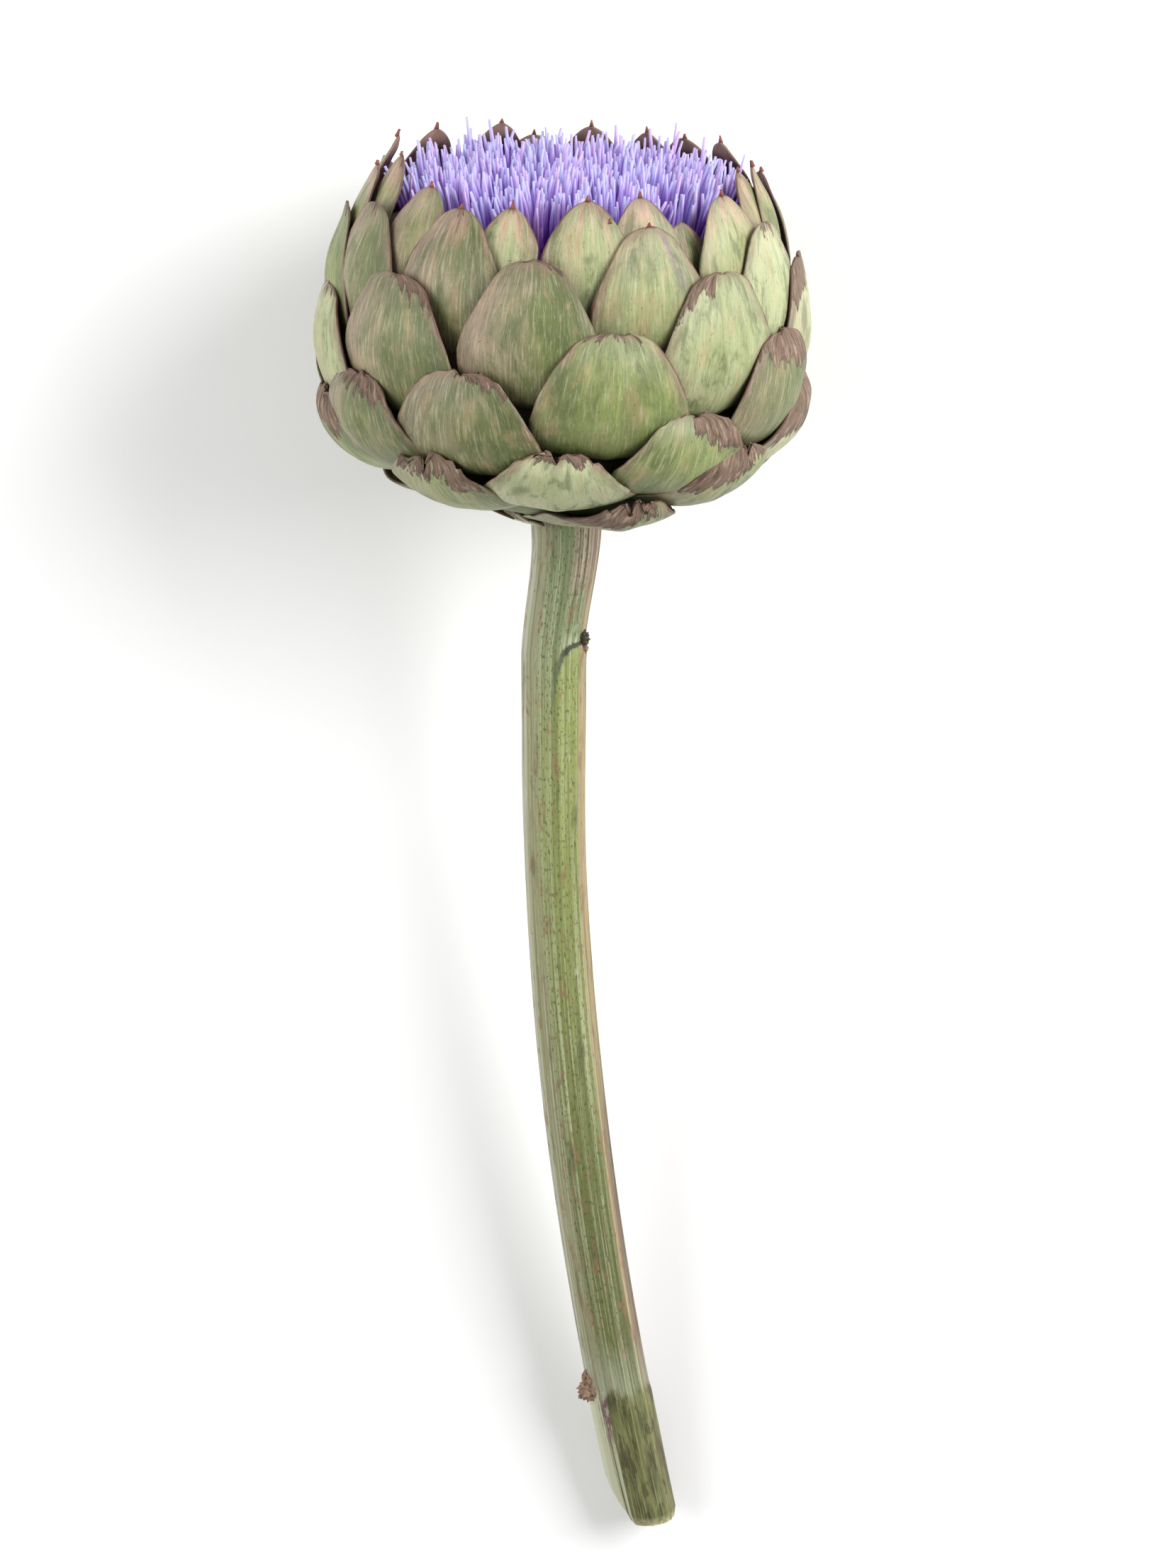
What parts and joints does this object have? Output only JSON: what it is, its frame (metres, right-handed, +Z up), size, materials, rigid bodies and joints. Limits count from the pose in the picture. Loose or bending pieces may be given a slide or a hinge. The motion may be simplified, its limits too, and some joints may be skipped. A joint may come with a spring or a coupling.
{
  "type": "globe artichoke",
  "caption": "Globe artichoke in flower, lying on its side: a round head of overlapping bracts round a dense violet tuft of florets, on a long, slightly curved cut stem.",
  "frame": {"origin": "middle of the larger of the two small flat spots that the head rests on, in the table's plane", "axes": "+Z up from the table, +Y along the plant from the cut end towards the flower, +X to the right of someone who looks down on it with the flower away from them"},
  "size_m": [0.1373, 0.4181, 0.1375],
  "materials": {
    "bracts": "matt sage green, blushed mauve and brown towards the tips",
    "florets": "matt periwinkle violet, deeper below",
    "stem": "matt grey green, ribbed, with brown marks"
  },
  "bodies": {
    "root": {"bract_head": "bracts", "florets": "florets", "stem": "stem"}
  },
  "joints": []
}
